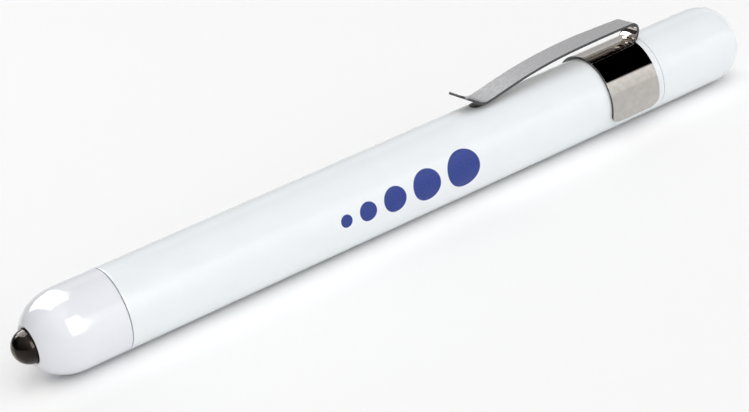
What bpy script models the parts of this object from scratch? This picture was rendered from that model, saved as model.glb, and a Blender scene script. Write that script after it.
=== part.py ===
"""A reusable pocket penlight: a white enamelled tube that holds two AAA cells, a screw-off nose with a
lens-end lamp, a rounded tail cap, and a spring-steel pocket clip whose arm is also the press switch.

It lies on its side with the clip on top. +X runs along the tube towards the tail, the lamp faces -X, and
z = 0 is the tube's lowest flat, so the tube's axis is AXIS_Z above it. Lengths are in millimetres here and
are turned into metres by MM as each mesh is made. A turned outline is a loop of (x, radius) points.
"""

import math

import bmesh
import bpy
from mathutils import Matrix

MM = 0.001
FULL_TURN = 2 * math.pi

# Tube, nose and cap.
TUBE_R = 6.35
NOSE_R = 6.33
BORE_R = 5.90
SIDES = 36
SMALL_SIDES = 32
LAMP_REACH = 15.6
TUBE_LENGTH = 98.25
CAP_LENGTH = 18.9
SEAM_GAP = 0.08
TIP_X = -(LAMP_REACH + TUBE_LENGTH + CAP_LENGTH) / 2
NOSE_SEAM_X = TIP_X + LAMP_REACH
CAP_SEAM_X = NOSE_SEAM_X + TUBE_LENGTH
TAIL_X = CAP_SEAM_X + CAP_LENGTH
AXIS_Z = TUBE_R * math.cos(math.pi / SIDES)

# Screw thread between the nose's spigot and the tube. Each radius is the middle of the thread.
PITCH = 0.8
THREAD_DEPTH = 0.25
THREAD_LENGTH = 4.0
THREAD_RINGS = 5
THREAD_START = 0.7
THREAD_RUN_OUT = 0.4
SPIGOT_THREAD_R = 5.81
TUBE_THREAD_R = 5.90
SPIGOT_ROOT_R = SPIGOT_THREAD_R - THREAD_DEPTH / 2
TUBE_ROOT_R = TUBE_THREAD_R + THREAD_DEPTH / 2
SPIGOT_LENGTH = 5.0

# Pocket clip: a band that wraps the tube, a neck that turns back over it, and the arm. The arm's line is
# (distance forward of the bend, height above the tube's axis), down to the foot and up the lip.
CLIP_SHEET = 0.4
BAND_INNER_R = 6.43
BAND_REAR_X = CAP_SEAM_X - 1.42
BAND_FRONT_X = BAND_REAR_X - 9.6
BAND_HALF_ANGLE = math.radians(122)
BAND_CORNER = 1.6
NECK_WIDTH = 3.9
ARM_WIDTH = 4.6
WIDENING = 9.0
LIP_CORNER = 0.9
ARM_LINE = (
    (0.3, 9.16), (3.4, 9.23), (7.4, 9.28), (11.4, 9.22), (15.4, 9.03), (18.9, 8.72), (22.4, 8.26),
    (25.4, 7.74), (27.8, 7.29), (29.2, 7.06), (29.9, 6.99), (30.5, 7.12), (31.1, 7.44), (31.9, 7.99),
    (32.8, 8.62), (33.3, 8.97), (33.55, 9.15), (33.7, 9.25),
)
FOOT_X = BAND_REAR_X - 30.2
BEND_R = 1.1
BEND_CENTRE_Z = ARM_LINE[0][1] - BEND_R

# Cells: two AAA in line, the raised end towards the lamp.
CELL_LENGTH = 44.5
CELL_R = 5.15
CAN_R = 5.04
CAN_INNER_R = 4.80
NUB_R = 1.9
LAMP_LENGTH = 23.8
FRONT_CELL_X = TIP_X + LAMP_LENGTH + 0.08
REAR_CELL_X = FRONT_CELL_X + CELL_LENGTH + 0.10
CELLS_END_X = REAR_CELL_X + CELL_LENGTH

# Switch parts in the tube wall, and the insulated tail contact.
STUD_X = FOOT_X
STUD_R = 1.2
STUD_SHANK_R = 0.8
PIN_X = BAND_REAR_X - 4.8
PIN_R = 0.55
GROMMET_R = 1.15
HOLE_CLEARANCE = 0.05
BUSH_FRONT_X = BAND_FRONT_X + 0.2
BUSH_END_X = CAP_SEAM_X + 12.93
BUSH_R = 5.85
BUSH_BORE_R = 5.62
CONTACT_X = CAP_SEAM_X + 11.43
CONTACT_SHEET = 0.4
CONTACT_R = 5.45
TONGUE_X = PIN_X - 1.2
TONGUE_WIDTH = 2.4
TONGUE_TOP = 5.46
TONGUE_SHEET = 0.2
SPRING_WIRE_R = 0.25
SPRING_R = 3.5
SPRING_TURNS = 6

COLLECTION = "penlight"
CUTTERS = "cutters"


def clear_scene():
    for old in list(bpy.data.objects):
        bpy.data.objects.remove(old, do_unlink=True)
    for name in (COLLECTION, CUTTERS):
        bpy.context.scene.collection.children.link(bpy.data.collections.new(name))


def make_material(name, colour, roughness, metallic, transmission=0.0):
    look = bpy.data.materials.new(name)
    look.use_nodes = True
    shader = look.node_tree.nodes["Principled BSDF"]
    shader.inputs["Base Color"].default_value = (*colour, 1)
    shader.inputs["Roughness"].default_value = roughness
    shader.inputs["Metallic"].default_value = metallic
    shader.inputs["Transmission Weight"].default_value = transmission
    look.diffuse_color = (*colour, 1)
    return look


def add_object(name, mesh, look, collection=COLLECTION):
    """Puts a mesh whose points are in metres into the scene as a named object."""
    obj = bpy.data.objects.new(name, mesh)
    bpy.data.collections[collection].objects.link(obj)
    if look:
        mesh.materials.append(look)
    return obj


def baked(obj):
    """Applies an object's modifiers, welds it and turns its faces outward."""
    graph = bpy.context.evaluated_depsgraph_get()
    mesh = bpy.data.meshes.new_from_object(obj.evaluated_get(graph))
    mesh.transform(obj.matrix_world)
    obj.modifiers.clear()
    bm = bmesh.new()
    bm.from_mesh(mesh)
    bmesh.ops.remove_doubles(bm, verts=bm.verts, dist=1e-7)
    bmesh.ops.recalc_face_normals(bm, faces=bm.faces)
    bm.to_mesh(mesh)
    bm.free()
    return mesh


def turned_mesh(outline, sides):
    """A loop of (x, radius) points in mm, turned about the X axis. A flat of the result faces down."""
    bm = bmesh.new()
    points = [bm.verts.new((x * MM, 0, radius * MM)) for x, radius in outline]
    for first, second in zip(points, points[1:] + points[:1]):
        if first.co.z > 0 or second.co.z > 0:
            bm.edges.new((first, second))
    profile = bpy.data.meshes.new("profile")
    bm.to_mesh(profile)
    bm.free()
    helper = bpy.data.objects.new("profile", profile)
    bpy.context.scene.collection.objects.link(helper)
    screw = helper.modifiers.new("turn", "SCREW")
    screw.axis = "X"
    screw.steps = sides
    screw.render_steps = sides
    screw.use_merge_vertices = True
    screw.merge_threshold = 1e-7
    bpy.context.view_layer.update()
    mesh = baked(helper)
    bpy.data.objects.remove(helper)
    mesh.transform(Matrix.Rotation(math.pi / sides, 4, "X"))
    return mesh


def turned(name, outline, look, sides=SIDES):
    """A turned piece on the tube's axis. Its origin is on that axis, where a turning piece needs it."""
    obj = add_object(name, turned_mesh(outline, sides), look)
    obj.location.z = AXIS_Z * MM
    return obj


def upright(name, outline, x, look, sides=16, collection=COLLECTION):
    """A turned piece that stands up through the tube's wall. Its outline is (height above the axis, radius)."""
    mesh = turned_mesh(outline, sides)
    mesh.transform(Matrix.Rotation(-math.pi / 2, 4, "Y"))
    obj = add_object(name, mesh, look, collection)
    obj.location = (x * MM, 0, AXIS_Z * MM)
    return obj


def disc_outline(start, end, radius):
    return [(start, 0), (start, radius), (end, radius), (end, 0)]


def ring_outline(start, end, inner, outer):
    return [(start, inner), (start, outer), (end, outer), (end, inner)]


def thread_stations(start):
    """The x of each ring of points that a thread needs, with a plain ring before and after it."""
    count = round(THREAD_LENGTH / PITCH * THREAD_RINGS)
    return [start + i * PITCH / THREAD_RINGS for i in range(count + 1)]


def cut_thread(obj, start, radius, root):
    """Moves the rings near one radius in and out to make a right-hand thread that runs out into its root."""
    end = start + THREAD_LENGTH
    for point in obj.data.vertices:
        x = point.co.x / MM
        now = math.hypot(point.co.y, point.co.z) / MM
        if abs(now - radius) > 0.01 or not start - 0.01 < x < end + 0.01:
            continue
        turn = math.atan2(point.co.z, point.co.y)
        share = max(0, min(1, (x - start) / THREAD_RUN_OUT, (end - x) / THREAD_RUN_OUT))
        wave = radius + 0.5 * THREAD_DEPTH * math.cos(FULL_TURN * x / PITCH - turn)
        new = root + (wave - root) * share
        point.co.y *= new / now
        point.co.z *= new / now


def cut(obj, cutter):
    """Takes a cutter away from an object and keeps the cutter out of the render."""
    modifier = obj.modifiers.new("cut", "BOOLEAN")
    modifier.operation = "DIFFERENCE"
    modifier.solver = "EXACT"
    modifier.object = cutter
    cutter.hide_render = True
    cutter.display_type = "WIRE"


def wall_hole(name, x, radius):
    """A cutter for a round hole through the top of the tube's wall."""
    return upright(name, disc_outline(4.0, 8.0, radius), x, None, collection=CUTTERS)


def rounded_end(full_radius, start, length, power, count):
    """(distance, radius) down a blunt bullet end that begins at start and would close after length."""
    for i in range(count + 1):
        part = math.sin(0.5 * math.pi * i / count)
        yield start + length * part, full_radius * math.sqrt(max(0, 1 - part**power))


def build_tube(look):
    front = NOSE_SEAM_X
    thread = thread_stations(front + THREAD_START)
    outline = [(front, TUBE_ROOT_R), (front, TUBE_R - 0.08), (front + 0.08, TUBE_R)]
    outline += [(CAP_SEAM_X - 0.08, TUBE_R), (CAP_SEAM_X, TUBE_R - 0.08), (CAP_SEAM_X, BORE_R)]
    outline += [(thread[-1] + 0.3, BORE_R)]
    outline += [(x, TUBE_THREAD_R) for x in reversed(thread)]
    tube = turned("tube", outline, look)
    cut_thread(tube, front + THREAD_START, TUBE_THREAD_R, TUBE_ROOT_R)
    cut(tube, wall_hole("stud_hole", STUD_X, STUD_SHANK_R + HOLE_CLEARANCE))
    cut(tube, wall_hole("grommet_hole", PIN_X, GROMMET_R + HOLE_CLEARANCE))
    return tube


def build_nose(look):
    """The nose's depths are measured back from the lamp's tip."""
    rim, shoulder, hole_r, lamp_room_r, spigot_bore_r = 2.6, 12.6, 2.72, 4.95, 5.35
    seam = LAMP_REACH - SEAM_GAP
    dome_start, dome_length, dome_power = 6.6, 7.35, 2.2
    outer = []
    for back, radius in rounded_end(NOSE_R, dome_start, dome_length, dome_power, 14):
        if radius > hole_r + 0.25:
            outer.append((LAMP_REACH - back, radius))
    outer.reverse()
    outline = [(rim + 0.06, hole_r), (rim, hole_r + 0.08)] + outer
    outline += [(seam, NOSE_R), (seam, SPIGOT_ROOT_R)]
    outline = [(TIP_X + back, radius) for back, radius in outline]
    thread = thread_stations(NOSE_SEAM_X + THREAD_START)
    outline += [(x, SPIGOT_THREAD_R) for x in thread]
    spigot_end = NOSE_SEAM_X + SPIGOT_LENGTH
    outline += [(spigot_end, SPIGOT_ROOT_R - 0.1), (spigot_end, spigot_bore_r)]
    inside = [(shoulder, spigot_bore_r), (shoulder, lamp_room_r), (9.2, lamp_room_r), (6.6, 3.75)]
    inside += [(4.6, 2.9), (3.9, hole_r)]
    outline += [(TIP_X + back, radius) for back, radius in inside]
    nose = turned("nose_cone", outline, look)
    cut_thread(nose, NOSE_SEAM_X + THREAD_START, SPIGOT_THREAD_R, SPIGOT_ROOT_R)
    return nose


def build_tail_cap(look):
    start = CAP_SEAM_X + SEAM_GAP
    dome_start, dome_length, dome_power = 11.5, 7.4, 3.4
    outline = [(start, BORE_R), (start, TUBE_R - 0.08), (start + 0.08, TUBE_R)]
    for back, radius in rounded_end(TUBE_R, dome_start, dome_length, dome_power, 14):
        outline.append((CAP_SEAM_X + back, radius))
    outline[-1] = (TAIL_X, 0)
    outline += [(TAIL_X - 0.9, 0), (TAIL_X - 1.5, 3.0), (TAIL_X - 3.1, 5.0), (TAIL_X - 4.9, BORE_R)]
    return turned("tail_cap", outline, look)


def build_clip_band(look):
    """One sheet: the band's grid, and a neck whose columns share the band's rear edge, made solid."""
    middle_r = BAND_INNER_R + CLIP_SHEET / 2
    neck_angle = math.asin(NECK_WIDTH / 2 / middle_r)
    outside = BAND_HALF_ANGLE - neck_angle
    corner = BAND_CORNER / middle_r
    rounding = [BAND_HALF_ANGLE - corner * (1 - math.cos(math.pi / 2 * i / 4)) for i in range(5)]
    wing = rounding + [BAND_HALF_ANGLE - outside * i / 12 for i in range(3, 13)]
    neck = [neck_angle * i / 3 for i in range(-2, 3)]
    angles = [-a for a in wing] + neck + list(reversed(wing))
    bm = bmesh.new()

    def point(x, across, height):
        return bm.verts.new((x * MM, across * MM, height * MM))

    columns = []
    for angle in angles:
        short = max(0, corner - (BAND_HALF_ANGLE - abs(angle))) * middle_r
        inset = BAND_CORNER - math.sqrt(max(0, BAND_CORNER**2 - short**2))
        low, high = BAND_FRONT_X + inset, BAND_REAR_X - inset
        across, height = middle_r * math.sin(angle), middle_r * math.cos(angle)
        columns.append([point(low + (high - low) * i / 4, across, height) for i in range(5)])
    for one, two in zip(columns, columns[1:]):
        for i in range(4):
            bm.faces.new((one[i], one[i + 1], two[i + 1], two[i]))
    start = len(wing) - 1
    necks = []
    for column, angle in list(zip(columns, angles))[start : start + len(neck) + 2]:
        strip = [column[-1]]
        across, height = middle_r * math.sin(angle), middle_r * math.cos(angle)
        flat = BEND_CENTRE_Z - BEND_R
        for i in range(11):
            turn = math.pi * i / 10
            share = min(1, i / 4)
            bottom = height + (flat - height) * share
            level = BEND_CENTRE_Z - BEND_R * math.cos(turn)
            level = bottom + (level - flat) if i < 5 else level
            x = BAND_REAR_X + 0.15 + BEND_R * math.sin(turn)
            strip.append(point(x, across, level))
        necks.append(strip)
    for one, two in zip(necks, necks[1:]):
        for i in range(len(one) - 1):
            bm.faces.new((one[i], one[i + 1], two[i + 1], two[i]))
    bmesh.ops.recalc_face_normals(bm, faces=bm.faces)
    mesh = bpy.data.meshes.new("clip_band")
    bm.to_mesh(mesh)
    bm.free()
    band = add_object("clip_band", mesh, look)
    band.location.z = AXIS_Z * MM
    add_thickness(band)
    return band


def add_thickness(obj, thickness=CLIP_SHEET):
    solid = obj.modifiers.new("sheet", "SOLIDIFY")
    solid.thickness = thickness * MM
    solid.offset = 0
    solid.use_even_offset = True


def arm_width(forward):
    """The arm widens as it leaves the bend, and its lip has rounded corners."""
    width = NECK_WIDTH + (ARM_WIDTH - NECK_WIDTH) * min(1, forward / WIDENING)
    past = max(0, LIP_CORNER - (ARM_LINE[-1][0] - forward))
    return width - 2 * (LIP_CORNER - math.sqrt(LIP_CORNER**2 - past**2))


def build_clip_arm(look):
    """The arm's origin is at the middle of the bend, where it flexes."""
    bm = bmesh.new()
    rows = []
    for forward, height in ARM_LINE:
        level, half = (height - BEND_CENTRE_Z) * MM, arm_width(forward) / 2 * MM
        rows.append([bm.verts.new((-forward * MM, side * half, level)) for side in (-1, 0, 1)])
    for one, two in zip(rows, rows[1:]):
        for i in range(2):
            bm.faces.new((one[i], one[i + 1], two[i + 1], two[i]))
    mesh = bpy.data.meshes.new("clip_arm")
    bm.to_mesh(mesh)
    bm.free()
    arm = add_object("clip_arm", mesh, look)
    arm.location = (BAND_REAR_X * MM, 0, (AXIS_Z + BEND_CENTRE_Z) * MM)
    add_thickness(arm)
    return arm


def build_switch(metal, nylon):
    """The stud that the clip's foot presses on, and the insulated pin that joins the band to the inside."""
    head, wall_top, wall_inside = 6.46, TUBE_R + 0.01, BORE_R - 0.15
    stud = [(head, 0), (head, STUD_R - 0.25), (head - 0.05, STUD_R), (wall_top, STUD_R)]
    stud += [(wall_top, STUD_SHANK_R), (wall_inside, STUD_SHANK_R), (wall_inside, STUD_R)]
    stud += [(wall_inside - 0.2, STUD_R), (wall_inside - 0.2, 0)]
    upright("contact_stud", stud, STUD_X, metal)
    upright("switch_pin", disc_outline(TONGUE_TOP + 0.02, BAND_INNER_R - 0.06, PIN_R), PIN_X, metal)
    collar = ring_outline(BUSH_R + 0.02, TUBE_R - 0.07, PIN_R + HOLE_CLEARANCE, GROMMET_R)
    upright("switch_grommet", collar, PIN_X, nylon)


def build_tail(nylon, brass, steel):
    wall = 0.8
    sleeve = [(BUSH_FRONT_X, BUSH_BORE_R), (BUSH_FRONT_X, BUSH_R), (BUSH_END_X, BUSH_R), (BUSH_END_X, 0)]
    sleeve += [(BUSH_END_X - wall, 0), (BUSH_END_X - wall, BUSH_BORE_R)]
    bush = turned("tail_bush", sleeve, nylon)
    cut(bush, wall_hole("bush_hole", PIN_X, PIN_R + HOLE_CLEARANCE))

    plate = turned("tail_contact", disc_outline(CONTACT_X, CONTACT_X + CONTACT_SHEET, CONTACT_R), brass)
    bm = bmesh.new()
    bmesh.ops.create_cube(bm, size=MM)
    tongue_end = CONTACT_X + CONTACT_SHEET / 2
    size = (tongue_end - TONGUE_X, TONGUE_WIDTH, TONGUE_SHEET)
    place = ((tongue_end + TONGUE_X) / 2 * MM, 0, (TONGUE_TOP - TONGUE_SHEET / 2) * MM)
    bmesh.ops.transform(bm, matrix=Matrix.Translation(place) @ Matrix.Diagonal((*size, 1)), verts=bm.verts)
    mesh = bpy.data.meshes.new("tongue")
    bm.to_mesh(mesh)
    bm.free()
    tongue = add_object("tongue", mesh, brass, CUTTERS)
    tongue.location.z = AXIS_Z * MM
    tongue.hide_render = True
    tongue.display_type = "WIRE"
    joined = plate.modifiers.new("tongue", "BOOLEAN")
    joined.operation = "UNION"
    joined.solver = "EXACT"
    joined.object = tongue

    start = CELLS_END_X + SPRING_WIRE_R + 0.06
    end = CONTACT_X - SPRING_WIRE_R - 0.06
    wire("tail_spring", coil_points(start, end, SPRING_R, SPRING_TURNS, 14), SPRING_WIRE_R, steel, 2)


def coil_points(start, end, radius, turns, per_turn, closed=0.8):
    """A coil along X whose first and last turns lie flat, so that its ends bear squarely."""
    count = turns * per_turn
    for i in range(count + 1):
        turn = i / per_turn
        rise = min(max((turn - closed) / (turns - 2 * closed), 0), 1)
        angle = FULL_TURN * turn
        yield (start + (end - start) * rise, radius * math.cos(angle), radius * math.sin(angle))


def wire(name, line, radius, look, resolution):
    """A round wire along a line of (x, y, height above the axis) points."""
    curve = bpy.data.curves.new(name, "CURVE")
    curve.dimensions = "3D"
    curve.bevel_depth = radius * MM
    curve.bevel_resolution = resolution
    curve.use_fill_caps = True
    points = list(line)
    spline = curve.splines.new("POLY")
    spline.points.add(len(points) - 1)
    for target, place in zip(spline.points, points):
        target.co = (*(value * MM for value in place), 1)
    obj = bpy.data.objects.new(name, curve)
    bpy.data.collections[COLLECTION].objects.link(obj)
    obj.location.z = AXIS_Z * MM
    curve.materials.append(look)
    return obj


def build_cell(name, start, steel, jacket, nylon, core):
    """One cell. Its raised end is at start, and it is five pieces: can, core, seal, end plate and jacket."""
    raised, can_end, plate_r = 0.9, 43.8, 3.8
    can = [(0, 0), (0, NUB_R - 0.15), (0.15, NUB_R), (raised, NUB_R), (raised, 4.7), (1.25, CAN_R)]
    can += [(can_end, CAN_R), (can_end, CAN_INNER_R), (1.6, CAN_INNER_R), (1.6, 0)]
    turned(name + "_can", [(start + x, r) for x, r in can], steel, SMALL_SIDES)
    turned(name + "_core", disc_outline(start + 1.7, start + 43.0, 4.7), core, SMALL_SIDES)
    turned(name + "_seal", ring_outline(start + 43.85, start + 44.15, plate_r + 0.1, 4.8), nylon, SMALL_SIDES)
    plate = [(43.9, 0), (43.9, plate_r), (44.3, plate_r), (CELL_LENGTH, 3.3), (CELL_LENGTH, 0)]
    turned(name + "_end_plate", [(start + x, r) for x, r in plate], steel, SMALL_SIDES)
    lip, inner = 4.2, CAN_R + 0.03
    sleeve = [(raised - 0.15, lip), (raised - 0.1, 4.9), (1.15, CELL_R), (43.95, CELL_R), (44.25, 4.95)]
    sleeve += [(44.25, lip), (44.2, lip), (44.18, 4.9), (43.95, inner), (1.22, inner), (raised - 0.06, 4.75)]
    sleeve += [(raised - 0.06, lip)]
    turned(name + "_jacket", [(start + x, r) for x, r in sleeve], jacket, SMALL_SIDES)


def build_lamp(glass, brass, black, solder, tungsten, nickel):
    """The lamp's depths are measured back from its tip, which is the front of the whole penlight."""
    dome_depth, dome_r = 2.6, 2.6
    quarter = [0.5 * math.pi * i / 8 for i in range(9)]
    outer = [(dome_depth * (1 - math.cos(a)), dome_r * math.sin(a)) for a in quarter]
    outer += [(5.2, 2.5), (6.2, 2.75), (8.2, 4.0), (9.4, 4.4), (12.5, 4.4), (13.5, 4.12), (14.8, 4.12)]
    inner = [(14.8, 3.75), (13.4, 3.75), (12.4, 4.0), (9.6, 4.0), (8.4, 3.5), (6.4, 2.0)]
    inner += [(5.7, 1.2), (5.5, 0)]
    turned("lamp_glass", [(TIP_X + x, r) for x, r in outer + inner], glass, SMALL_SIDES)

    shell_start, ridges, ridge_pitch, shell_r, ridge = 13.6, 4, 1.81, 4.47, 0.22
    shell = [(shell_start, 4.25), (shell_start, shell_r)]
    for i in range(ridges):
        foot = shell_start + 0.3 + i * ridge_pitch
        shell += [(foot, shell_r), (foot + ridge_pitch * 0.5, shell_r + ridge)]
    tail = shell_start + 0.3 + ridges * ridge_pitch
    shell += [(tail, shell_r), (tail + 0.4, 3.6), (tail + 0.1, 3.5), (tail - 0.2, 4.25)]
    turned("lamp_base", [(TIP_X + x, r) for x, r in shell], brass, SMALL_SIDES)
    disc = [(tail + 0.15, 0), (tail + 0.15, 3.4), (tail + 0.45, 3.4), (tail + 1.5, 1.9), (tail + 1.5, 0)]
    turned("lamp_insulator", [(TIP_X + x, r) for x, r in disc], black, SMALL_SIDES)
    bump = [(tail + 1.55, 0), (tail + 1.55, 1.6), (LAMP_LENGTH - 0.3, 1.4), (LAMP_LENGTH, 0.7)]
    bump += [(LAMP_LENGTH, 0)]
    turned("lamp_contact", [(TIP_X + x, r) for x, r in bump], solder, SMALL_SIDES)

    reach, spread, wire_r, filament_x = 16.5, 1.1, 0.13, 7.7
    for name, side in (("lamp_lead_left", -1), ("lamp_lead_right", 1)):
        lead = [(reach, side * 1.6, 0), (13.5, side * 0.9, 0), (11.4, side * 0.7, 0), (10.4, side * 0.7, 0)]
        lead += [(9.2, side * 1.0, 0), (filament_x + 0.25, side * spread, 0)]
        wire(name, [(TIP_X + x, y, z) for x, y, z in lead], wire_r, nickel, 1)
    coil = [(TIP_X + filament_x, spread * (i / 6 - 1), 0) for i in range(13)]
    wire("lamp_filament", coil, 0.08, tungsten, 1)
    bead = [(10.9 - 0.45 * math.cos(a), 0.5 * math.sin(a)) for a in (math.pi * i / 8 for i in range(9))]
    bead[0], bead[-1] = (bead[0][0], 0), (bead[-1][0], 0)
    turned("lamp_bead", [(TIP_X + x, r) for x, r in bead], glass, 16)

    holder = [(12.68, 4.6), (12.68, 5.2), (20.6, 5.2), (20.6, 4.8), (13.4, 4.8), (13.4, 4.6)]
    turned("lamp_holder", [(TIP_X + x, r) for x, r in holder], brass, SMALL_SIDES)


def main():
    clear_scene()
    enamel = make_material("white_enamel", (0.87, 0.89, 0.91), 0.18, 0)
    nose_enamel = make_material("nose_enamel", (0.82, 0.82, 0.87), 0.16, 0)
    cap_enamel = make_material("cap_enamel", (0.86, 0.88, 0.90), 0.2, 0)
    band_steel = make_material("polished_nickel", (0.70, 0.68, 0.65), 0.08, 1)
    arm_steel = make_material("satin_nickel", (0.60, 0.60, 0.62), 0.28, 1)
    nickel = make_material("contact_nickel", (0.72, 0.70, 0.66), 0.2, 1)
    brass = make_material("brass", (0.78, 0.60, 0.28), 0.25, 1)
    nylon = make_material("natural_nylon", (0.86, 0.84, 0.78), 0.5, 0)
    spring_steel = make_material("spring_wire", (0.55, 0.55, 0.55), 0.3, 1)
    can_steel = make_material("plated_can", (0.68, 0.68, 0.68), 0.25, 1)
    jacket = make_material("cell_jacket", (0.08, 0.09, 0.11), 0.35, 0)
    powder = make_material("cell_core", (0.10, 0.10, 0.10), 0.9, 0)
    glass = make_material("lamp_glass", (0.85, 0.88, 0.88), 0.02, 0, transmission=0.9)
    black = make_material("black_insulator", (0.03, 0.03, 0.035), 0.3, 0)
    solder = make_material("solder", (0.62, 0.62, 0.60), 0.35, 1)
    tungsten = make_material("tungsten", (0.25, 0.24, 0.23), 0.4, 1)

    build_tube(enamel)
    build_nose(nose_enamel)
    build_tail_cap(cap_enamel)
    build_clip_band(band_steel)
    build_clip_arm(arm_steel)
    build_switch(nickel, nylon)
    build_tail(nylon, brass, spring_steel)
    build_cell("front_cell", FRONT_CELL_X, can_steel, jacket, nylon, powder)
    build_cell("rear_cell", REAR_CELL_X, can_steel, jacket, nylon, powder)
    build_lamp(glass, brass, black, solder, tungsten, nickel)


main()
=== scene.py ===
"""The looks of the reusable pocket penlight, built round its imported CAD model.

Lengths are in millimetres in this script and are turned into metres by MM as each mesh is made. Places
along the tube come from the frame's boxes. A turned outline is a loop of (x, radius) or
(x, radius, corner radius) points about the tube's axis.
"""

import math

import bmesh
import bpy
from mathutils import Matrix, Vector


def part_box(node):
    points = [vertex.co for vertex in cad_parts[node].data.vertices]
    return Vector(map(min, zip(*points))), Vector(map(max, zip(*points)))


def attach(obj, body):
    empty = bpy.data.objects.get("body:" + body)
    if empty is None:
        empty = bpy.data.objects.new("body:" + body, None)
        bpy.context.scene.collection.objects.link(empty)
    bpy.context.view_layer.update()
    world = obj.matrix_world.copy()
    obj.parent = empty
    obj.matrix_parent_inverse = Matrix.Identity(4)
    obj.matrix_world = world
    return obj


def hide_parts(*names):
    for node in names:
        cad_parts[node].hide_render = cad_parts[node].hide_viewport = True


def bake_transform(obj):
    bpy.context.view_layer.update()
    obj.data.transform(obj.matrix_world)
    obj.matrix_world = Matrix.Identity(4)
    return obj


MM = 0.001
FULL_TURN = 2 * math.pi
SIDES = 192
LAMP_SIDES = 96

# Clip. The arm's line is (distance forward of the bend, height above the tube's axis).
SHEET = 0.4
BAND_HALF_ANGLE = math.radians(122)
BAND_CORNER = 1.6
BEND_R = 1.1
NECK_STRAIGHT = 0.15
NECK_WIDTH = 3.9
ARM_WIDTH = 4.6
WIDENING = 9.0
LIP_CORNER = 0.9
EDGE_ROUNDING = 0.15
ARM_LINE = (
    (0.3, 9.16), (3.4, 9.23), (7.4, 9.28), (11.4, 9.22), (15.4, 9.03), (18.9, 8.72), (22.4, 8.26),
    (25.4, 7.74), (27.8, 7.29), (29.2, 7.06), (29.9, 6.99), (30.5, 7.12), (31.1, 7.44), (31.9, 7.99),
    (32.8, 8.62), (33.3, 8.97), (33.55, 9.15), (33.7, 9.25),
)
BEND_CENTRE = ARM_LINE[0][1] - BEND_R
BEND_STEPS = 28
SATIN_START = BEND_STEPS - 5

# Screw thread of the nose's spigot and the tube's mouth. Each radius is the middle of the thread.
PITCH = 0.8
THREAD_DEPTH = 0.25
THREAD_LENGTH = 4.0
THREAD_START = 0.7
THREAD_RUN_OUT = 0.4
THREAD_RINGS = 12
SPIGOT_THREAD_R = 5.81
TUBE_THREAD_R = 5.90
SPIGOT_ROOT_R = SPIGOT_THREAD_R - THREAD_DEPTH / 2
TUBE_ROOT_R = TUBE_THREAD_R + THREAD_DEPTH / 2
SPIGOT_LENGTH = 5.0
BORE_R = 5.90
BORE_CLEARANCE = 0.01

# Seams. Each end's edge is rounded, and a ring of points one shoulder away keeps the shading flat past it.
SEAM_GAP = 0.08
NOSE_GAP = 0.15
NOSE_EDGE = 0.12
CAP_EDGE = 0.09
SEAM_SHOULDER = 0.35
RING_SPACING = 12

# Blunt ends: the length that stays straight next to the seam, and the power of the curve after it.
NOSE_STRAIGHT = 6.6
NOSE_DOME = 7.35
NOSE_POWER = 2.2
NOSE_RIM = 2.6
HOLE_R = 2.72
CAP_STRAIGHT = 11.5
CAP_POWER = 3.4

# Printed pupil gauge: a row of round dots, each a millimetre wider than the last.
GAUGE_DOTS = (2, 3, 4, 5, 6)
GAUGE_GAP = 1.4
GAUGE_MIDDLE_X = -2.35
GAUGE_ANGLE = math.radians(86)
INK_SOFTNESS = 0.03
INK_COLOUR = (0.006, 0.03, 0.24, 1)

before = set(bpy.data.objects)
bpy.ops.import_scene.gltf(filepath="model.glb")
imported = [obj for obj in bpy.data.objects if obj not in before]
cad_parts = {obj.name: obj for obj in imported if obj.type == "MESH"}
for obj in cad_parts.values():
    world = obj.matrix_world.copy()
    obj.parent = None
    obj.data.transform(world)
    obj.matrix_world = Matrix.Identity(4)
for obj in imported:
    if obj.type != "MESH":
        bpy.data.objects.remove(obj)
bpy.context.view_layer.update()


def box(node):
    """The low and the high corner of a node's box."""
    return [Vector(corner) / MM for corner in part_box(node)]


TUBE_LOW, TUBE_HIGH = box("tube")
BAND_LOW, BAND_HIGH = box("clip_band")
CAP_END_X = box("tail_cap")[1].x
TIP_X = box("lamp_glass")[0].x
AXIS_Z = (TUBE_LOW.z + TUBE_HIGH.z) / 2
TUBE_R = (TUBE_HIGH.y - TUBE_LOW.y) / 2
NOSE_SEAM_X = TUBE_LOW.x
CAP_SEAM_X = TUBE_HIGH.x
LAMP_REACH = NOSE_SEAM_X - TIP_X


# ---------------------------------------------------------------- meshes


def new_object(name, mesh, look=None):
    obj = bpy.data.objects.new(name, mesh)
    bpy.context.scene.collection.objects.link(obj)
    if look:
        mesh.materials.append(look)
    return obj


def smooth(bm, crease=math.radians(35)):
    """Smooth faces, with every edge that turns more than the crease angle left sharp."""
    bm.normal_update()
    for face in bm.faces:
        face.smooth = True
    for edge in bm.edges:
        edge.smooth = edge.calc_face_angle(0) < crease


def rounded(outline, closed):
    """The outline with each corner that has a third value turned into an arc of that radius."""
    result = []
    count = len(outline)
    for i, corner in enumerate(outline):
        here = Vector(corner[:2])
        if len(corner) < 3 or (not closed and i in (0, count - 1)):
            result.append(tuple(here))
            continue
        back = (Vector(outline[i - 1][:2]) - here).normalized()
        on = (Vector(outline[(i + 1) % count][:2]) - here).normalized()
        half = back.angle(on) / 2
        reach = corner[2] / math.tan(half)
        centre = here + (back + on).normalized() * corner[2] / math.sin(half)
        first, last = here + back * reach - centre, here + on * reach - centre
        sweep = math.atan2(first.cross(last), first.dot(last))
        steps = 6
        for step in range(steps + 1):
            spin = Matrix.Rotation(sweep * step / steps, 2)
            result.append(tuple(centre + spin @ first))
    return result


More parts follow.
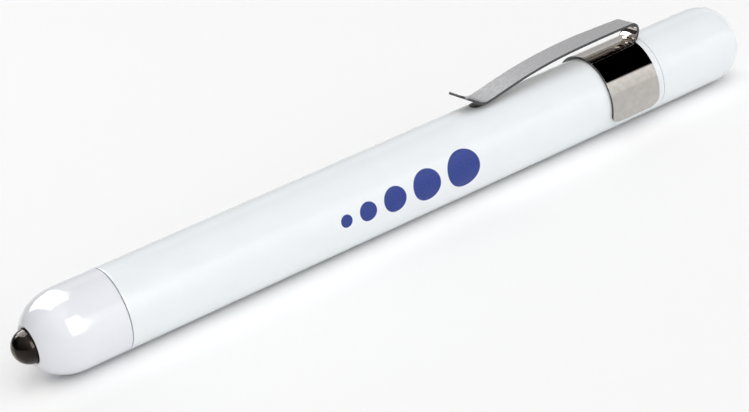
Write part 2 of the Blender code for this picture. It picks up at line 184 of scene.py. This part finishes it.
def thread_radius(x, angle, start, middle, root):
    """A right-hand thread's radius at this place. It runs out into its root at both ends."""
    share = min(1, (x - start) / THREAD_RUN_OUT, (start + THREAD_LENGTH - x) / THREAD_RUN_OUT)
    wave = middle + 0.5 * THREAD_DEPTH * math.cos(FULL_TURN * x / PITCH - angle)
    return root + (wave - root) * max(0, share)


def thread_rings(start, radius):
    count = round(THREAD_LENGTH / PITCH * THREAD_RINGS)
    return [(start + i * PITCH / THREAD_RINGS, radius) for i in range(count + 1)]


def lathe(name, outline, look, sides=SIDES, closed=True, thread=None):
    """Turns an outline about the tube's axis. thread is its (start, middle radius, root radius)."""
    bm = bmesh.new()
    rings = []
    for x, radius in rounded(outline, closed):
        if radius < 1e-6:
            rings.append([bm.verts.new((x * MM, 0, AXIS_Z * MM))])
            continue
        ring = []
        for i in range(sides):
            angle = FULL_TURN * i / sides
            reach = radius
            if thread and abs(radius - thread[1]) < 1e-6:
                reach = thread_radius(x, angle, *thread)
            place = (x, reach * math.cos(angle), AXIS_Z + reach * math.sin(angle))
            ring.append(bm.verts.new(Vector(place) * MM))
        rings.append(ring)
    pairs = list(zip(rings, rings[1:]))
    if closed and len(rings[0]) > 1:
        pairs.append((rings[-1], rings[0]))
    for one, two in pairs:
        for i in range(sides):
            quad = (one[i % len(one)], one[(i + 1) % len(one)], two[(i + 1) % len(two)], two[i % len(two)])
            corners = list(dict.fromkeys(quad))
            if len(corners) > 2:
                bm.faces.new(corners)
    bmesh.ops.recalc_face_normals(bm, faces=bm.faces)
    smooth(bm)
    mesh = bpy.data.meshes.new(name)
    bm.to_mesh(mesh)
    bm.free()
    return new_object(name, mesh, look)


def bullet(start, length, power, count=48):
    """(distance, radius) down a blunt end that leaves the tube's radius at start."""
    for i in range(count + 1):
        part = math.sin(math.pi / 2 * i / count)
        yield start + length * part, TUBE_R * math.sqrt(max(0, 1 - part**power))


def curve_through(points, per_span):
    """A smooth line through points: a Catmull-Rom spline."""
    points = [Vector(p) for p in points]
    padded = [2 * points[0] - points[1]] + points + [2 * points[-1] - points[-2]]
    line = []
    for a, b, c, d in zip(padded, padded[1:], padded[2:], padded[3:]):
        for step in range(per_span):
            t = step / per_span
            square = (2 * a - 5 * b + 4 * c - d) * t**2
            cube = (3 * b - a - 3 * c + d) * t**3
            line.append(0.5 * (2 * b + (c - a) * t + square + cube))
    line.append(points[-1])
    return line


# ---------------------------------------------------------------- materials


class Look:
    """A material with a few short ways to add nodes to it."""

    def __init__(self, name, colour, roughness, metallic=0.0, **sockets):
        self.material = bpy.data.materials.new(name)
        self.material.use_nodes = True
        self.tree = self.material.node_tree
        self.shader = self.tree.nodes["Principled BSDF"]
        self.shader.inputs["Base Color"].default_value = (*colour, 1)
        self.shader.inputs["Roughness"].default_value = roughness
        self.shader.inputs["Metallic"].default_value = metallic
        for socket, value in sockets.items():
            self.shader.inputs[socket.replace("_", " ")].default_value = value
        self.colour = (*colour, 1)

    def add(self, kind, inputs=(), **settings):
        node = self.tree.nodes.new("ShaderNode" + kind)
        for key, value in settings.items():
            setattr(node, key, value)
        for socket, value in dict(inputs).items():
            if isinstance(value, bpy.types.NodeSocket):
                self.tree.links.new(value, node.inputs[socket])
            else:
                node.inputs[socket].default_value = value
        return node

    def math(self, operation, a, b=0.0):
        return self.add("Math", {0: a, 1: b}, operation=operation).outputs[0]

    def place(self, scale=(1, 1, 1)):
        """Object coordinates in millimetres, times a scale on each axis."""
        where = self.add("TexCoord").outputs["Object"]
        factor = [s / MM for s in scale]
        return self.add("Mapping", {"Vector": where, "Scale": factor}).outputs[0]

    def noise(self, size, detail=3.0, stretch=(1, 1, 1)):
        """Noise whose lumps are about size millimetres across."""
        scale = [s / size for s in stretch]
        inputs = {"Vector": self.place(scale), "Scale": 1.0, "Detail": detail}
        return self.add("TexNoise", inputs).outputs["Fac"]

    def spread(self, value, low, high, start=0.3, end=0.7):
        inputs = {"Value": value, "From Min": start, "From Max": end, "To Min": low, "To Max": high}
        return self.add("MapRange", inputs).outputs[0]

    def mix(self, share, one, two):
        node = self.add("Mix", data_type="RGBA")
        for socket, value in ((0, share), (6, one), (7, two)):
            if isinstance(value, bpy.types.NodeSocket):
                self.tree.links.new(value, node.inputs[socket])
            else:
                node.inputs[socket].default_value = value
        return node.outputs[2]

    def set(self, socket, value):
        self.tree.links.new(value, self.shader.inputs[socket])

    def bump(self, height, depth):
        """Relief of a height field that runs from 0 to 1, depth millimetres deep."""
        node = self.add("Bump", {"Height": height, "Distance": depth * MM, "Strength": 1.0})
        self.set("Normal", node.outputs[0])


def gauge_ink(look):
    """1 inside the printed dots and 0 outside them, from the place on the tube's side."""
    where = look.add("SeparateXYZ", {0: look.place()}).outputs
    up = look.math("SUBTRACT", where["Z"], AXIS_Z)
    aside = look.math("MULTIPLY", where["Y"], -1.0)
    angle = look.math("ARCTAN2", aside, up)
    arc = look.math("MULTIPLY", look.math("SUBTRACT", angle, GAUGE_ANGLE), TUBE_R)
    length = sum(GAUGE_DOTS) + GAUGE_GAP * (len(GAUGE_DOTS) - 1)
    ink = None
    x = GAUGE_MIDDLE_X - length / 2
    for width in GAUGE_DOTS:
        along = look.math("SUBTRACT", where["X"], x + width / 2)
        reach = look.add("CombineXYZ", {0: along, 1: arc}).outputs[0]
        distance = look.add("VectorMath", {0: reach}, operation="LENGTH").outputs["Value"]
        edge = {"From Min": width / 2 + INK_SOFTNESS, "From Max": width / 2 - INK_SOFTNESS}
        dot = look.add("MapRange", {"Value": distance, **edge}).outputs[0]
        ink = dot if ink is None else look.math("MAXIMUM", ink, dot)
        x += width + GAUGE_GAP
    return ink


def enamel(name, colour, gloss, printed=False):
    """Sprayed white enamel: a hint of orange peel, faint unevenness of tone, a clear gloss."""
    look = Look(name, colour, gloss, IOR=1.5)
    tone = look.spread(look.noise(6, 4), 0.0, 1.0)
    darker = tuple(c * 0.975 for c in colour) + (1,)
    base = look.mix(tone, darker, look.colour)
    if printed:
        ink = gauge_ink(look)
        speckle = look.spread(look.noise(0.25, 2), 0.985, 1.0)
        base = look.mix(look.math("MULTIPLY", ink, speckle), base, INK_COLOUR)
    look.set("Base Color", base)
    look.set("Roughness", look.spread(look.noise(1.4, 3), gloss * 0.8, gloss * 1.25))
    look.bump(look.noise(1.1, 2), 0.001)
    return look.material


def polished_nickel(name):
    """Bright plate over sheet steel: faint rolling lines, mottling and a few shallow dents."""
    look = Look(name, (0.50, 0.475, 0.445), 0.05, 1.0)
    mottle = look.spread(look.noise(0.9, 5), 0.0, 1.0)
    look.set("Base Color", look.mix(mottle, (0.47, 0.445, 0.415, 1), (0.54, 0.515, 0.485, 1)))
    look.set("Roughness", look.spread(look.noise(0.7, 4, (0.4, 1, 1)), 0.03, 0.07))
    lines = look.noise(0.35, 3, (0.12, 1, 1))
    swell = look.noise(3.0, 1)
    look.bump(look.math("ADD", look.math("MULTIPLY", lines, 0.25), swell), 0.0015)
    return look.material


def satin_nickel(name):
    """The arm's face: finely brushed along its length."""
    look = Look(name, (0.47, 0.47, 0.48), 0.27, 1.0)
    grain = look.noise(0.12, 4, (0.16, 1, 1))
    tone = look.spread(grain, 0.0, 1.0)
    look.set("Base Color", look.mix(tone, (0.44, 0.44, 0.45, 1), (0.50, 0.50, 0.51, 1)))
    look.set("Roughness", look.spread(look.noise(0.3, 4, (0.3, 1, 1)), 0.22, 0.32))
    look.bump(grain, 0.0015)
    return look.material


def plain_metal(name, colour, roughness, grain=0.5):
    look = Look(name, colour, roughness, 1.0)
    tone = look.spread(look.noise(grain, 4), 0.0, 1.0)
    darker = tuple(c * 0.85 for c in colour) + (1,)
    look.set("Base Color", look.mix(tone, darker, look.colour))
    look.set("Roughness", look.spread(look.noise(grain * 2, 3), roughness * 0.8, roughness * 1.3))
    look.bump(look.noise(grain * 0.5, 3), 0.003)
    return look.material


def moulded(name, colour, roughness, size=0.6, **sockets):
    look = Look(name, colour, roughness, **sockets)
    tone = look.spread(look.noise(size * 3, 3), 0.0, 1.0)
    darker = tuple(c * 0.9 for c in colour) + (1,)
    look.set("Base Color", look.mix(tone, darker, look.colour))
    look.set("Roughness", look.spread(look.noise(size, 3), roughness * 0.85, min(1, roughness * 1.15)))
    look.bump(look.noise(size * 0.4, 2), 0.003)
    return look.material


def shade_tinted_glass(name):
    """Glass tinted dark amber, with a dulled warm first reflection: painted shade that makes the lens look
    near black.
    """
    colour, reflection = (0.28, 0.235, 0.14), (0.62, 0.5, 0.44, 1)
    look = Look(name, colour, 0.01, Specular_Tint=reflection, Transmission_Weight=1.0, IOR=1.5)
    look.set("Roughness", look.spread(look.noise(1.2, 3), 0.0, 0.02))
    look.bump(look.noise(2.0, 2), 0.004)
    return look.material


def cell_film(name):
    """Plain printed film: dark, with a faintly uneven tone."""
    look = Look(name, (0.05, 0.055, 0.07), 0.32, Coat_Weight=0.3, Coat_Roughness=0.1)
    tone = look.spread(look.noise(2.5, 3), 0.0, 1.0)
    look.set("Base Color", look.mix(tone, (0.04, 0.045, 0.06, 1), look.colour))
    look.bump(look.noise(0.8, 2), 0.004)
    return look.material


MATERIALS = {}


def make_materials():
    MATERIALS.update(
        tube=enamel("tube_enamel", (0.85, 0.88, 0.90), 0.16, printed=True),
        nose=enamel("nose_enamel", (0.82, 0.83, 0.87), 0.05),
        cap=enamel("cap_enamel", (0.84, 0.87, 0.89), 0.16),
        band=polished_nickel("polished_nickel"),
        arm=satin_nickel("satin_nickel"),
        # Near-black metal: painted dark reflection along the clip's sheared edges, and painted contact shadow
        # on the stud under the arm's foot.
        sheared=plain_metal("sheared_edge", (0.10, 0.10, 0.105), 0.3, 0.3),
        # Near-black metal inside the nose: painted shade for the hollow behind the lens.
        inside=plain_metal("dark_inside_painted_shade", (0.10, 0.095, 0.09), 0.5, 0.6),
        contact=plain_metal("contact_nickel", (0.70, 0.68, 0.64), 0.22),
        brass=plain_metal("brass", (0.72, 0.52, 0.22), 0.28),
        spring=plain_metal("spring_wire", (0.50, 0.50, 0.50), 0.3, 0.3),
        can=plain_metal("plated_can", (0.64, 0.64, 0.64), 0.25, 0.8),
        solder=plain_metal("solder", (0.55, 0.55, 0.53), 0.4, 0.3),
        tungsten=plain_metal("tungsten", (0.22, 0.21, 0.20), 0.45, 0.1),
        nylon=moulded("natural_nylon", (0.80, 0.78, 0.70), 0.5, Subsurface_Weight=0.1),
        insulator=moulded("black_insulator", (0.02, 0.02, 0.024), 0.25),
        powder=moulded("cell_core", (0.06, 0.06, 0.06), 0.9, 0.3),
        film=cell_film("cell_film"),
        glass=shade_tinted_glass("lamp_glass"),
    )


CARRIED_NODES = {
    # The contact stud is painted near black: the shadow under the arm's foot.
    "sheared": ("contact_stud",),
    "contact": ("switch_pin", "lamp_lead_left", "lamp_lead_right"),
    "nylon": ("switch_grommet", "tail_bush", "front_cell_seal", "rear_cell_seal"),
    "brass": ("tail_contact",),
    "spring": ("tail_spring",),
    "can": ("front_cell_can", "rear_cell_can", "front_cell_end_plate", "rear_cell_end_plate"),
    "film": ("front_cell_jacket", "rear_cell_jacket"),
    "powder": ("front_cell_core", "rear_cell_core"),
    "insulator": ("lamp_insulator",),
    "solder": ("lamp_contact",),
    "glass": ("lamp_bead",),
}


def dress_cad_nodes():
    for look, nodes in CARRIED_NODES.items():
        for node in nodes:
            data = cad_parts[node].data
            data.materials.clear()
            data.materials.append(MATERIALS[look])


# ---------------------------------------------------------------- pieces


def stand_in(obj, body, finish, *nodes):
    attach(obj, body)
    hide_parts(*nodes)
    return obj


def build_tube():
    front, bore = NOSE_SEAM_X, BORE_R + BORE_CLEARANCE
    start = front + THREAD_START
    thread = thread_rings(start, TUBE_THREAD_R)
    outline = [(front, TUBE_ROOT_R), (front, TUBE_R, NOSE_EDGE), (front + SEAM_SHOULDER, TUBE_R)]
    outline += [(front + 2 + i * RING_SPACING, TUBE_R) for i in range(8)]
    outline += [(CAP_SEAM_X - SEAM_SHOULDER, TUBE_R), (CAP_SEAM_X, TUBE_R, CAP_EDGE)]
    outline += [(CAP_SEAM_X, bore), (thread[-1][0] + 0.3, bore)]
    outline += reversed(thread)
    carried = (start, TUBE_THREAD_R, TUBE_ROOT_R)
    tube = lathe("tube_enamelled", outline, MATERIALS["tube"], thread=carried)
    stand_in(tube, "housing", "enamel", "tube")


def build_nose():
    lamp_room_r, spigot_bore_r = 4.95, 5.35
    seam, dome = LAMP_REACH - NOSE_GAP, bullet(NOSE_STRAIGHT, NOSE_DOME, NOSE_POWER)
    outer = [(LAMP_REACH - back, r) for back, r in dome if r > HOLE_R + 0.3]
    outline = [(NOSE_RIM + 0.05, HOLE_R, 0.1)] + outer[::-1]
    outline += [(seam - SEAM_SHOULDER, TUBE_R), (seam, TUBE_R, NOSE_EDGE), (seam, SPIGOT_ROOT_R, 0.05)]
    outline = [(TIP_X + p[0], *p[1:]) for p in outline]
    start = NOSE_SEAM_X + THREAD_START
    outline += thread_rings(start, SPIGOT_THREAD_R)
    end = NOSE_SEAM_X + SPIGOT_LENGTH
    outline += [(end, SPIGOT_ROOT_R - 0.1, 0.08), (end, spigot_bore_r, 0.05)]
    inside = [(12.6, spigot_bore_r), (12.6, lamp_room_r), (9.2, lamp_room_r, 1.0), (6.6, 3.75, 1.0)]
    inside += [(4.6, 2.9, 0.6), (3.9, HOLE_R, 0.3)]
    outline += [(TIP_X + p[0], *p[1:]) for p in inside]
    carried = (start, SPIGOT_THREAD_R, SPIGOT_ROOT_R)
    nose = lathe("nose_enamelled", outline, MATERIALS["nose"], thread=carried)
    shade_the_inside(nose.data)
    stand_in(nose, "nose", "nose_enamel", "nose_cone")


def shade_the_inside(mesh):
    """The nose's inward faces get near-black bare metal, apart from the rim of its hole: no enamel there, and
    painted shade for the dark hollow seen through the lens.
    """
    mesh.materials.append(MATERIALS["inside"])
    for face in mesh.polygons:
        outward = face.normal.y * face.center.y + face.normal.z * (face.center.z - AXIS_Z * MM)
        inside = outward < 0 and face.center.x > (TIP_X + NOSE_RIM + 0.1) * MM
        face.material_index = 1 if inside else 0


def build_cap():
    start, tail = CAP_SEAM_X + SEAM_GAP, CAP_END_X
    outline = [(start, BORE_R), (start, TUBE_R, CAP_EDGE), (start + SEAM_SHOULDER, TUBE_R)]
    dome = bullet(CAP_STRAIGHT, tail - CAP_SEAM_X - CAP_STRAIGHT, CAP_POWER)
    outline += [(CAP_SEAM_X + back, r) for back, r in dome]
    outline += [(tail - 0.9, 0), (tail - 1.5, 3.0, 1.0), (tail - 3.1, 5.0, 1.0), (tail - 4.9, BORE_R)]
    cap = lathe("cap_enamelled", outline, MATERIALS["cap"])
    stand_in(cap, "housing", "cap_enamel", "tail_cap")


def arm_width(forward):
    """The arm widens as it leaves the bend, and its lip has rounded corners."""
    width = NECK_WIDTH + (ARM_WIDTH - NECK_WIDTH) * min(1, forward / WIDENING)
    past = max(0, LIP_CORNER - (ARM_LINE[-1][0] - forward))
    return width - 2 * (LIP_CORNER - math.sqrt(max(0, LIP_CORNER**2 - past**2)))


def band_angles(middle_r):
    """The angles of the band's columns from its one end to its other, and which of them lie in the neck."""
    neck_angle = math.asin(NECK_WIDTH / 2 / middle_r)
    corner = BAND_CORNER / middle_r
    round_steps, wing_steps, neck_steps = 10, 32, 12
    quarter = [math.pi / 2 * i / round_steps for i in range(round_steps)]
    wing = [BAND_HALF_ANGLE - corner * (1 - math.cos(a)) for a in quarter]
    rest = BAND_HALF_ANGLE - corner - neck_angle
    wing += [BAND_HALF_ANGLE - corner - rest * i / wing_steps for i in range(wing_steps + 1)]
    neck = [neck_angle * (2 * i / neck_steps - 1) for i in range(1, neck_steps)]
    first = len(wing) - 1
    return [-a for a in wing] + neck + wing[::-1], range(first, first + neck_steps + 1)


def clip_point(bm, x, across, height):
    return bm.verts.new(Vector((x, across, AXIS_Z + height)) * MM)


def band_column(bm, angle, middle_r, front, rear, rows=24):
    """One line of points along the band, which stops short where the wing's corners are rounded."""
    short = max(0, BAND_CORNER - (BAND_HALF_ANGLE - abs(angle)) * middle_r)
    inset = BAND_CORNER - math.sqrt(max(0, BAND_CORNER**2 - short**2))
    low, high = front + inset, rear - inset
    across, height = middle_r * math.sin(angle), middle_r * math.cos(angle)
    return [clip_point(bm, low + (high - low) * i / rows, across, height) for i in range(rows + 1)]


def arm_strip(bm, first, angle, middle_r, rear, arm):
    """One line of points from the band's edge round the bend, which flattens the neck, and along the arm."""
    flattened = 0.4
    across, height = middle_r * math.sin(angle), middle_r * math.cos(angle)
    flat = BEND_CENTRE - BEND_R
    strip = [first]
    for i in range(BEND_STEPS + 1):
        turn = math.pi * i / BEND_STEPS
        ease = min(1, i / (flattened * BEND_STEPS))
        ease = ease * ease * (3 - 2 * ease)
        level = BEND_CENTRE - BEND_R * math.cos(turn) - (flat - height) * (1 - ease)
        strip.append(clip_point(bm, rear + NECK_STRAIGHT + BEND_R * math.sin(turn), across, level))
    for forward, level in arm:
        strip.append(clip_point(bm, rear - forward, across * arm_width(forward) / NECK_WIDTH, level))
    return strip


def clip_sheet(middle_r, front, rear):
    """The middle of the sheet: the band's grid, and the strip that turns back over it as neck and arm."""
    bm = bmesh.new()
    angles, in_neck = band_angles(middle_r)
    columns = [band_column(bm, angle, middle_r, front, rear) for angle in angles]
    for one, two in zip(columns, columns[1:]):
        for i in range(len(one) - 1):
            bm.faces.new((one[i], one[i + 1], two[i + 1], two[i]))
    arm = curve_through(ARM_LINE, 8)
    strips = [arm_strip(bm, columns[i][-1], angles[i], middle_r, rear, arm) for i in in_neck]
    for one, two in zip(strips, strips[1:]):
        for i in range(len(one) - 1):
            face = bm.faces.new((one[i], one[i + 1], two[i + 1], two[i]))
            face.material_index = 1 if i >= SATIN_START else 0
    bmesh.ops.recalc_face_normals(bm, faces=bm.faces)
    mesh = bpy.data.meshes.new("pocket_clip")
    bm.to_mesh(mesh)
    bm.free()
    return mesh


def build_clip():
    """One bending sheet: polished, with a satin outer face on the arm and its sheared edges darkened near
    black as a painted dark reflection.
    """
    middle_r = (BAND_HIGH.y - BAND_LOW.y) / 2 - SHEET / 2
    rear = BAND_HIGH.x - BEND_R - NECK_STRAIGHT - SHEET / 2
    clip = new_object("pocket_clip", clip_sheet(middle_r, BAND_LOW.x, rear), MATERIALS["band"])
    clip.data.materials.append(MATERIALS["arm"])
    clip.data.materials.append(MATERIALS["sheared"])
    solid = clip.modifiers.new("sheet", "SOLIDIFY")
    solid.thickness, solid.offset, solid.use_even_offset = SHEET * MM, 0, True
    # The rims take the near-black metal, a painted dark reflection along the sheet's edges.
    solid.material_offset, solid.material_offset_rim = -1, 2
    bevel = clip.modifiers.new("edges", "BEVEL")
    bevel.width, bevel.segments, bevel.limit_method = EDGE_ROUNDING * MM, 4, "ANGLE"
    bevel.angle_limit = math.radians(50)
    apply_modifiers(clip)
    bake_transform(clip)
    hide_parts("clip_band", "clip_arm")


def apply_modifiers(obj):
    graph = bpy.context.evaluated_depsgraph_get()
    mesh = bpy.data.meshes.new_from_object(obj.evaluated_get(graph))
    obj.modifiers.clear()
    obj.data = mesh
    bm = bmesh.new()
    bm.from_mesh(mesh)
    smooth(bm)
    bm.to_mesh(mesh)
    bm.free()


def build_lamp_glass():
    dome_depth, dome_r = 2.6, 2.6
    quarter = [math.pi / 2 * i / 24 for i in range(25)]
    outer = [(dome_depth * (1 - math.cos(a)), dome_r * math.sin(a)) for a in quarter]
    outer += [(5.2, 2.5, 1.0), (6.2, 2.75, 1.0), (8.2, 4.0, 1.0), (9.4, 4.4, 0.8), (12.5, 4.4, 0.5)]
    outer += [(13.5, 4.12, 0.5), (14.8, 4.12)]
    inner = [(14.8, 3.75), (13.4, 3.75, 0.5), (12.4, 4.0, 0.5), (9.6, 4.0, 0.8), (8.4, 3.5, 1.0)]
    inner += [(6.4, 2.0, 1.0), (5.7, 1.2, 0.3), (5.5, 0)]
    outline = [(TIP_X + p[0], *p[1:]) for p in outer + inner]
    glass = lathe("lamp_envelope", outline, MATERIALS["glass"], LAMP_SIDES, closed=False)
    stand_in(glass, "stack", "lamp_glass", "lamp_glass")


def build_lamp_base():
    """The shell's rolled screw is drawn as rings."""
    start, tail, shell_r, ridge, pitch = 13.9, 21.14, 4.47, 0.22, 1.81
    shell = [(13.6, 4.25, 0.05), (13.6, shell_r, 0.08)]
    steps = 48
    for i in range(steps + 1):
        x = start + (tail - start) * i / steps
        shell.append((x, shell_r + ridge * 0.5 * (1 - math.cos(FULL_TURN * (x - start) / pitch))))
    shell += [(tail + 0.4, 3.6, 0.1), (tail + 0.1, 3.5, 0.1), (tail - 0.2, 4.25, 0.1)]
    base = lathe("lamp_screw_shell", [(TIP_X + p[0], *p[1:]) for p in shell], MATERIALS["brass"], LAMP_SIDES)
    stand_in(base, "stack", "brass", "lamp_base")


def build_lamp_collar():
    front, lip_end, tail, mouth_r, bore_r, outer_r = 12.68, 13.4, 20.6, 4.6, 4.8, 5.14
    holder = [(front, mouth_r, 0.1), (front, outer_r, 0.15), (tail, outer_r, 0.1), (tail, bore_r, 0.1)]
    holder += [(lip_end, bore_r), (lip_end, mouth_r, 0.1)]
    outline = [(TIP_X + p[0], *p[1:]) for p in holder]
    collar = lathe("lamp_collar", outline, MATERIALS["brass"], LAMP_SIDES)
    stand_in(collar, "stack", "brass", "lamp_holder")


def build_filament():
    """A fine coil strung straight across between the tips of the leads."""
    low, high = box("lamp_filament")
    curve = bpy.data.curves.new("filament_coil", "CURVE")
    curve.dimensions = "3D"
    curve.bevel_depth = 0.025 * MM
    curve.bevel_resolution = 2
    curve.use_fill_caps = True
    turns, per_turn, coil_r = 16, 10, 0.055
    count = turns * per_turn
    spline = curve.splines.new("POLY")
    spline.points.add(count)
    middle_x = (low.x + high.x) / 2
    for i, target in enumerate(spline.points):
        share = i / count
        angle = FULL_TURN * i / per_turn
        across = low.y + (high.y - low.y) * share
        x = middle_x + coil_r * math.cos(angle)
        z = AXIS_Z + coil_r * math.sin(angle)
        target.co = (x * MM, across * MM, z * MM, 1)
    coil = new_object("filament_coil", curve)
    curve.materials.append(MATERIALS["tungsten"])
    stand_in(coil, "stack", "tungsten", "lamp_filament")


# ---------------------------------------------------------------- stage, light, camera

VIEW_AZIMUTH = math.radians(29.94)
VIEW_ELEVATION = math.radians(23.27)
VIEW_ROLL = math.radians(-11.5)
VIEW_DISTANCE = 332
VIEW_TARGET = (-5.05, 0.7, 3.7)
VIEW_LENS = 105.7

# The room's light, where 1 is white, and the dark gap in its ceiling, whose edges are angles from straight up
# towards the camera.
WALL_LIGHT = 1.12
CEILING_LIGHT = 1.5
FAR_WALL_DROP = 0.55
NOSE_WALL_DROP = 0.95
GAP_LEAN = (math.radians(-38), math.radians(56))
GAP_SOFT = math.radians(3)
GAP_DEPTH = 1.0
DIMMEST_WALL = 0.05
SOFTBOX_DISTANCE = 400
SOFTBOX_RADIANCE = 6
OVERHEAD_LIGHT = 1.2


def direction(azimuth, elevation):
    """The way from the object towards a place seen at this azimuth and elevation."""
    flat = math.cos(elevation)
    return Vector((-math.sin(azimuth) * flat, -math.cos(azimuth) * flat, math.sin(elevation)))


def add_camera():
    data = bpy.data.cameras.new("camera")
    data.lens = VIEW_LENS
    data.sensor_width = 36
    data.clip_start = 0.01
    data.clip_end = 50
    camera = new_object("camera", data)
    back = direction(VIEW_AZIMUTH, VIEW_ELEVATION)
    turn = back.to_track_quat("Z", "Y").to_matrix() @ Matrix.Rotation(VIEW_ROLL, 3, "Z")
    camera.matrix_world = Matrix.LocRotScale(
        (Vector(VIEW_TARGET) + back * VIEW_DISTANCE) * MM, turn.to_quaternion(), None
    )
    bpy.context.scene.camera = camera


def add_area(name, azimuth, elevation, width, height):
    """A softbox that shows only as a reflection: the room's light does the rest."""
    data = bpy.data.lights.new(name, "AREA")
    data.shape = "RECTANGLE"
    data.size, data.size_y = width * MM, height * MM
    data.energy = SOFTBOX_RADIANCE * math.pi * data.size * data.size_y
    light = new_object(name, data)
    away = direction(math.radians(azimuth), math.radians(elevation))
    light.location = (Vector((NOSE_SEAM_X, 0, AXIS_Z)) + away * SOFTBOX_DISTANCE) * MM
    light.rotation_euler = away.to_track_quat("Z", "Y").to_euler()
    light.visible_diffuse = False


def add_overhead():
    """Broad light from above that softens the gap's shade and shows in no reflection."""
    data = bpy.data.lights.new("overhead", "SUN")
    data.energy = OVERHEAD_LIGHT
    data.angle = math.radians(70)
    light = new_object("overhead", data)
    light.rotation_euler = direction(math.radians(-40), math.radians(62)).to_track_quat("Z", "Y").to_euler()
    light.visible_glossy = False


def add_world():
    """A white room with a dark gap in its ceiling, which runs along the tube and leans towards the camera."""
    world = bpy.data.worlds.new("studio")
    world.use_nodes = True
    bpy.context.scene.world = world
    tree = world.node_tree

    def add(kind, inputs, **settings):
        node = tree.nodes.new("ShaderNode" + kind)
        for key, value in settings.items():
            setattr(node, key, value)
        for socket, value in inputs.items():
            if isinstance(value, bpy.types.NodeSocket):
                tree.links.new(value, node.inputs[socket])
            else:
                node.inputs[socket].default_value = value
        return node.outputs[0]

    def ramp(value, start, end, low, high):
        inputs = {"Value": value, "From Min": start, "From Max": end, "To Min": low, "To Max": high}
        return add("MapRange", inputs, interpolation_type="SMOOTHSTEP")

    def calculate(operation, one, two):
        return add("Math", {0: one, 1: two}, operation=operation)

    where = tree.nodes.new("ShaderNodeTexCoord").outputs["Generated"]
    split = tree.nodes.new("ShaderNodeSeparateXYZ")
    tree.links.new(where, split.inputs[0])
    along, aside, up = split.outputs
    lean = calculate("ARCTAN2", calculate("MULTIPLY", aside, -1.0), up)
    near_edge = ramp(lean, GAP_LEAN[1] - GAP_SOFT, GAP_LEAN[1] + GAP_SOFT, 1.0, 0.0)
    far_edge = ramp(lean, GAP_LEAN[0] - GAP_SOFT, GAP_LEAN[0] + GAP_SOFT, 0.0, 1.0)
    front_edge = ramp(along, -0.1, 0.3, 0.0, 1.0)
    gap = calculate("MULTIPLY", calculate("MULTIPLY", near_edge, far_edge), front_edge)
    wall = ramp(up, 0.05, 0.75, WALL_LIGHT, CEILING_LIGHT)
    far_side = ramp(aside, 0.0, 0.6, 0.0, 1.0)
    wall = calculate("SUBTRACT", wall, calculate("MULTIPLY", far_side, FAR_WALL_DROP))
    wall = calculate("SUBTRACT", wall, ramp(along, -0.9, 0.1, NOSE_WALL_DROP, 0.0))
    wall = calculate("MAXIMUM", wall, DIMMEST_WALL)
    light = calculate("MULTIPLY", wall, calculate("SUBTRACT", 1.0, calculate("MULTIPLY", gap, GAP_DEPTH)))
    background = tree.nodes["Background"]
    background.inputs["Color"].default_value = (1, 1, 1, 1)
    tree.links.new(light, background.inputs["Strength"])


def add_floor():
    bm = bmesh.new()
    bmesh.ops.create_grid(bm, x_segments=1, y_segments=1, size=6)
    mesh = bpy.data.meshes.new("floor")
    bm.to_mesh(mesh)
    bm.free()
    floor = new_object("floor", mesh, Look("floor_paper", (0.99, 0.99, 0.99), 0.9).material)


def main():
    make_materials()
    dress_cad_nodes()
    build_tube()
    build_nose()
    build_cap()
    build_clip()
    build_lamp_glass()
    build_lamp_base()
    build_lamp_collar()
    build_filament()
    add_floor()
    add_world()
    add_area("softbox", azimuth=-4.95, elevation=25, width=189.6, height=330)
    add_area("far_softbox", azimuth=176, elevation=54, width=290, height=500)
    add_overhead()
    add_camera()
    bpy.context.scene.view_settings.view_transform = "Standard"


main()
